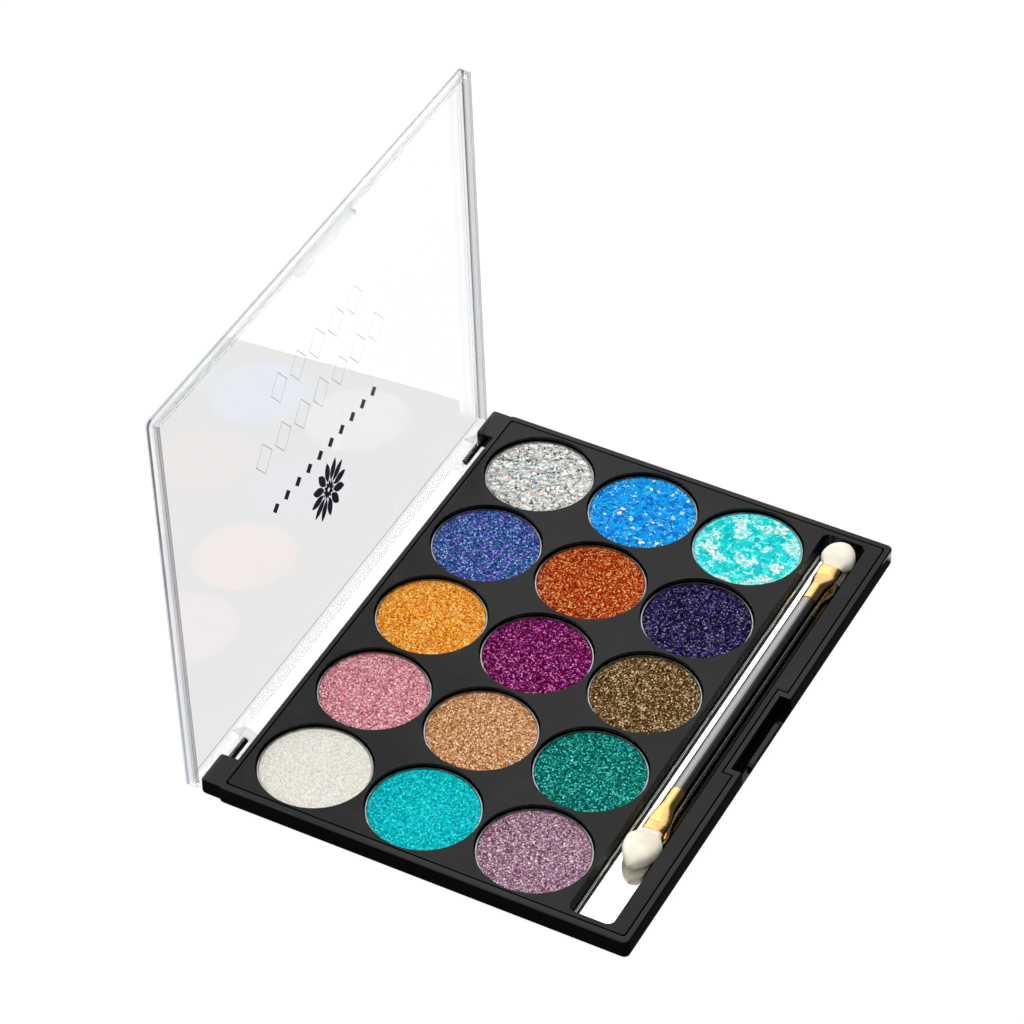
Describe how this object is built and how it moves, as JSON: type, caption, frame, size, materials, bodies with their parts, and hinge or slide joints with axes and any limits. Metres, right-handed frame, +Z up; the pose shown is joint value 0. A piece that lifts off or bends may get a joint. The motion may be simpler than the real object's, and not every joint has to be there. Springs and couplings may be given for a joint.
{
  "type": "eyeshadow palette",
  "caption": "Slim rectangular eyeshadow palette with round pressed-powder pans, a clear hinged lid and a double-ended sponge applicator in a mirrored slot.",
  "frame": {"origin": "centre of the case's flat underside, with the hinge ears left out", "axes": "+X along the hinge line to the right when the open palette faces its user, +Y towards the hinge, +Z up"},
  "size_m": [0.1414, 0.1148, 0.1061],
  "materials": {
    "black_plastic": "gloss black moulded plastic",
    "clear_plastic": "clear moulded plastic",
    "mirror_film": "mirror-faced strip",
    "tinplate": "thin bright tinplate",
    "gold": "gold-coloured anodised",
    "sponge": "cream cosmetic foam",
    "powder_pearl_white": "pressed powder, pearl white",
    "powder_soft_pink": "pressed powder, soft pink",
    "powder_golden_orange": "pressed powder, golden orange",
    "powder_violet_blue": "pressed powder, violet blue",
    "powder_silver_flake": "pressed powder, silver flake",
    "powder_turquoise": "pressed powder, turquoise",
    "powder_rose_gold": "pressed powder, rose gold",
    "powder_magenta_plum": "pressed powder, magenta plum",
    "powder_copper_orange": "pressed powder, copper orange",
    "powder_bright_blue": "pressed powder, bright blue",
    "powder_mauve_lilac": "pressed powder, mauve lilac",
    "powder_emerald_teal": "pressed powder, emerald teal",
    "powder_bronze_brown": "pressed powder, bronze brown",
    "powder_midnight_navy": "pressed powder, midnight navy",
    "powder_aqua_flake": "pressed powder, aqua flake"
  },
  "bodies": {
    "base": {"base_case": "black_plastic", "pan_tray": "black_plastic", "mirror_strip": "mirror_film", "hinge_pin_left": "black_plastic", "hinge_pin_right": "black_plastic", "pan_pearl_white": "tinplate", "pan_soft_pink": "tinplate", "pan_golden_orange": "tinplate", "pan_violet_blue": "tinplate", "pan_silver_flake": "tinplate", "pan_turquoise": "tinplate", "pan_rose_gold": "tinplate", "pan_magenta_plum": "tinplate", "pan_copper_orange": "tinplate", "pan_bright_blue": "tinplate", "pan_mauve_lilac": "tinplate", "pan_emerald_teal": "tinplate", "pan_bronze_brown": "tinplate", "pan_midnight_navy": "tinplate", "pan_aqua_flake": "tinplate", "powder_pearl_white": "powder_pearl_white", "powder_soft_pink": "powder_soft_pink", "powder_golden_orange": "powder_golden_orange", "powder_violet_blue": "powder_violet_blue", "powder_silver_flake": "powder_silver_flake", "powder_turquoise": "powder_turquoise", "powder_rose_gold": "powder_rose_gold", "powder_magenta_plum": "powder_magenta_plum", "powder_copper_orange": "powder_copper_orange", "powder_bright_blue": "powder_bright_blue", "powder_mauve_lilac": "powder_mauve_lilac", "powder_emerald_teal": "powder_emerald_teal", "powder_bronze_brown": "powder_bronze_brown", "powder_midnight_navy": "powder_midnight_navy", "powder_aqua_flake": "powder_aqua_flake"},
    "lid": {"clear_lid": "clear_plastic"},
    "applicator": {"applicator_handle": "black_plastic", "ferrule_near": "gold", "ferrule_far": "gold", "sponge_tip_near": "sponge", "sponge_tip_far": "sponge"}
  },
  "joints": [
    {"name": "lid_hinge", "type": "hinge", "parent": "base", "child": "lid", "pos_m": [0, 0.0537, 0.00246], "axis": [1, 0, 0], "range_deg": [0, 92.5]},
    {"name": "applicator_lift", "type": "slide", "parent": "base", "child": "applicator", "axis": [0, 0, 1], "range_m": [0, 0.04]}
  ]
}
